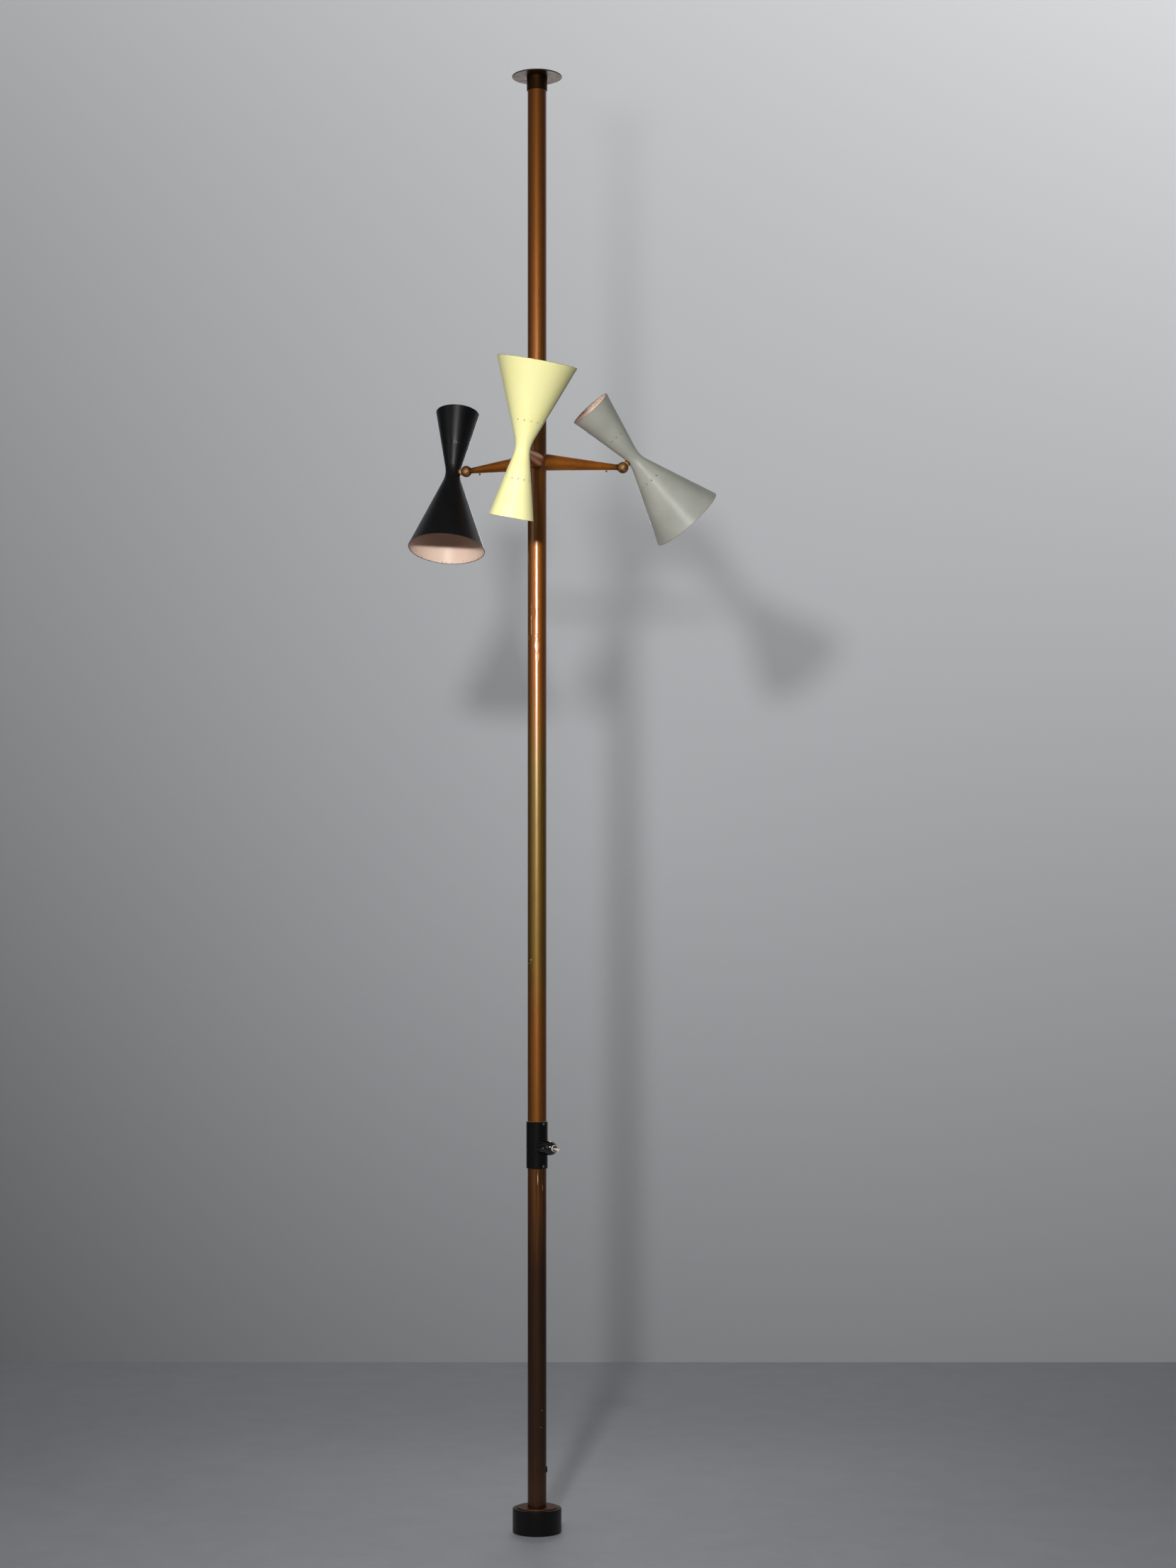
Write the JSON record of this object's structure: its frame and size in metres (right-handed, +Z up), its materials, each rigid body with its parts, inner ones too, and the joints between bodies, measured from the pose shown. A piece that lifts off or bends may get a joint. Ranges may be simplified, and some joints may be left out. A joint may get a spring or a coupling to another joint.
{
  "type": "tension pole lamp",
  "caption": "Floor-to-ceiling tension pole lamp: three arms at one height carry double-cone shades on slotted ball swivels, with a toggle switch on a sleeve.",
  "frame": {"origin": "centre of the foot's underside, on the pole's axis", "axes": "+Z up along the pole, -Y towards the viewer of the picture, +X to the viewer's right"},
  "size_m": [0.6658, 0.5505, 3.1],
  "materials": {
    "black_rubber": "matte",
    "black_foot": "satin",
    "zinc_steel": "satin",
    "lacquered_brass": "gloss",
    "worn_brass": "satin",
    "bronzed_plate": "satin",
    "black_sleeve": "gloss",
    "black_phenolic": "gloss",
    "white_plastic": "gloss",
    "brown_phenolic": "satin",
    "wire_sheath": "matte",
    "spring_steel": "satin",
    "cast_block": "satin",
    "grey_shade": "satin",
    "black_shade": "satin",
    "yellow_shade": "satin",
    "bulb_glass": "gloss"
  },
  "bodies": {
    "pole": {"foot_sole": "black_rubber", "foot_puck": "black_foot", "foot_disc": "bronzed_plate", "foot_plug": "zinc_steel", "foot_bolt": "zinc_steel", "pole_lower": "lacquered_brass", "pole_spigot": "zinc_steel", "pole_upper": "lacquered_brass", "cord_grommet": "black_rubber", "switch_sleeve": "black_sleeve", "sleeve_screws": "zinc_steel", "switch_housing": "black_phenolic", "housing_screw": "zinc_steel", "switch_body": "brown_phenolic", "switch_nut": "white_plastic", "feed_wire": "wire_sheath", "arm_hub": "zinc_steel", "arm_ferrules": "worn_brass", "arm_set_screws": "worn_brass", "spring_seat": "zinc_steel", "tension_spring": "spring_steel", "guide_bush": "brown_phenolic", "arm_tube_right": "worn_brass", "arm_cone_right": "lacquered_brass", "arm_tube_left": "worn_brass", "arm_cone_left": "lacquered_brass", "arm_tube_front": "worn_brass", "arm_cone_front": "lacquered_brass"},
    "switch_lever": {"switch_lever": "white_plastic"},
    "ceiling_plate": {"ceiling_plate": "bronzed_plate", "ceiling_collar": "bronzed_plate", "plunger_rod": "zinc_steel", "ceiling_pad": "black_rubber"},
    "ball_right": {"ball_cap_right": "worn_brass", "ball_shell_right": "worn_brass"},
    "neck_right": {"neck_bolt_right": "worn_brass", "neck_nut_right": "worn_brass"},
    "head_right": {"swivel_collar_right": "lacquered_brass", "shade_right": "grey_shade", "lamp_carrier_right": "cast_block", "lampholders_right": "brown_phenolic", "bulbs_right": "bulb_glass"},
    "ball_left": {"ball_cap_left": "worn_brass", "ball_shell_left": "worn_brass"},
    "neck_left": {"neck_bolt_left": "worn_brass", "neck_nut_left": "worn_brass"},
    "head_left": {"swivel_collar_left": "lacquered_brass", "shade_left": "black_shade", "lamp_carrier_left": "cast_block", "lampholders_left": "brown_phenolic", "bulbs_left": "bulb_glass"},
    "ball_front": {"ball_cap_front": "worn_brass", "ball_shell_front": "worn_brass"},
    "neck_front": {"neck_bolt_front": "worn_brass", "neck_nut_front": "worn_brass"},
    "head_front": {"swivel_collar_front": "lacquered_brass", "shade_front": "yellow_shade", "lamp_carrier_front": "cast_block", "lampholders_front": "brown_phenolic", "bulbs_front": "bulb_glass"}
  },
  "joints": [
    {"name": "ceiling_tension", "type": "slide", "parent": "pole", "child": "ceiling_plate", "axis": [0, 0, 1], "range_m": [-0.015, 0.003], "stiffness_N_per_m": 4600, "springref_m": 0.024, "deforming": ["tension_spring"]},
    {"name": "switch_toggle", "type": "hinge", "parent": "pole", "child": "switch_lever", "pos_m": [0.03362, -0.04226, 0.82], "axis": [-0.7826, -0.6225, 0], "range_deg": [0, 16]},
    {"name": "ball_turn_right", "type": "hinge", "parent": "pole", "child": "ball_right", "pos_m": [0.18358, 0.07417, 2.279], "axis": [0.9272, 0.3746, 0], "range_deg": [-165, 165]},
    {"name": "neck_tilt_right", "type": "hinge", "parent": "ball_right", "child": "neck_right", "pos_m": [0.18358, 0.07417, 2.279], "axis": [0.3664, -0.9069, -0.2079], "range_deg": [-66, 24]},
    {"name": "shade_turn_right", "type": "hinge", "parent": "neck_right", "child": "head_right", "pos_m": [0.18358, 0.07417, 2.279], "axis": [0.7001, 0.1216, 0.7036], "range_deg": [-160, 160]},
    {"name": "ball_turn_left", "type": "hinge", "parent": "pole", "child": "ball_left", "pos_m": [-0.15603, 0.1219, 2.279], "axis": [-0.788, 0.6157, 0], "range_deg": [-165, 165]},
    {"name": "neck_tilt_left", "type": "hinge", "parent": "ball_left", "child": "neck_left", "pos_m": [-0.15603, 0.1219, 2.279], "axis": [0.075, 0.096, -0.9925], "range_deg": [-3, 87]},
    {"name": "shade_turn_left", "type": "hinge", "parent": "neck_left", "child": "head_left", "pos_m": [-0.15603, 0.1219, 2.279], "axis": [-0.9322, 0.3601, -0.0356], "range_deg": [-160, 160]},
    {"name": "ball_turn_front", "type": "hinge", "parent": "pole", "child": "ball_front", "pos_m": [-0.02752, -0.19584, 2.26933], "axis": [-0.139, -0.9891, -0.0488], "range_deg": [-165, 165]},
    {"name": "neck_tilt_front", "type": "hinge", "parent": "ball_front", "child": "neck_front", "pos_m": [-0.02752, -0.19584, 2.26933], "axis": [0.4741, -0.1098, 0.8736], "range_deg": [-33, 57]},
    {"name": "shade_turn_front", "type": "hinge", "parent": "neck_front", "child": "head_front", "pos_m": [-0.02752, -0.19584, 2.26933], "axis": [0.0601, -0.9858, -0.1565], "range_deg": [-160, 160]}
  ]
}
